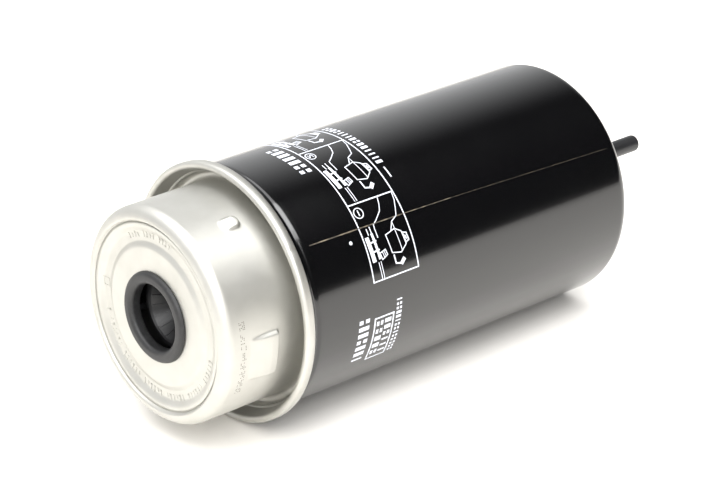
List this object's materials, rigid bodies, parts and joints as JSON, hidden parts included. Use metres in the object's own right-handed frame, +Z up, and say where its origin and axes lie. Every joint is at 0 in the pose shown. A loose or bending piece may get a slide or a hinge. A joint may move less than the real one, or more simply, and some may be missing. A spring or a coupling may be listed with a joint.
{
  "type": "fuel filter",
  "caption": "Screw-drain diesel fuel filter cartridge: keyed plated neck with a rubber head seal, black seamed can, sprung pleated element and a drain valve with a hose nipple.",
  "frame": {"origin": "on the axis, at the middle of the sealing bore in the head grommet", "axes": "+X along the filter from the neck to the drain, +Z up as the filter lies on its side"},
  "size_m": [0.2197, 0.087, 0.087],
  "materials": {
    "can_paint": "gloss black baked paint on steel",
    "bottom_paint": "semi-gloss black paint on steel",
    "neck_plating": "satin plated steel with a pale straw tint",
    "sealant": "matt sealing compound",
    "black_rubber": "satin moulded rubber",
    "boss_steel": "turned steel",
    "nut_plating": "zinc-plated steel",
    "gasket_fibre": "pressed fibre",
    "spring_steel": "oiled spring steel",
    "black_plastic": "moulded glass-filled nylon",
    "core_plastic": "moulded nylon",
    "screen_mesh": "fine woven polyester mesh",
    "filter_paper": "resin-treated pleated paper",
    "wrap_felt": "non-woven felt",
    "potting": "cured potting compound"
  },
  "bodies": {
    "housing": {"can_body": "can_paint", "bottom_cover": "bottom_paint", "bottom_sealant": "sealant", "neck_cap": "neck_plating", "seam_sealant": "sealant", "head_grommet": "black_rubber", "drain_boss": "boss_steel", "boss_gasket": "gasket_fibre", "boss_nut": "nut_plating", "stop_ring": "spring_steel", "spring_seat": "nut_plating", "element_spring": "spring_steel"},
    "element": {"top_end_cap": "black_plastic", "stem_grommet": "black_rubber", "core_tube": "core_plastic", "water_screen": "screen_mesh", "pleated_media": "filter_paper", "outer_wrap": "wrap_felt", "upper_potting": "potting", "lower_potting": "potting", "bottom_end_cap": "black_plastic"},
    "drain_seals": {"seat_oring": "black_rubber", "stem_oring": "black_rubber"},
    "drain_valve": {"drain_stem": "black_plastic", "drain_knob": "black_plastic"}
  },
  "joints": [
    {"name": "element_float", "type": "slide", "parent": "housing", "child": "element", "axis": [1, 0, 0], "range_m": [0, 0.003], "stiffness_N_per_m": 3000, "springref_m": -0.005, "deforming": ["element_spring"]},
    {"name": "drain_travel", "type": "slide", "parent": "housing", "child": "drain_seals", "axis": [1, 0, 0], "range_m": [0, 0.0024]},
    {"name": "drain_turn", "type": "hinge", "parent": "drain_seals", "child": "drain_valve", "pos_m": [0.1669, 0, 0], "axis": [1, 0, 0], "range_deg": [0, 540]}
  ],
  "couplings": [
    {"joint": "drain_travel", "follows": "drain_turn", "m_per_rad": 0.00025465}
  ]
}
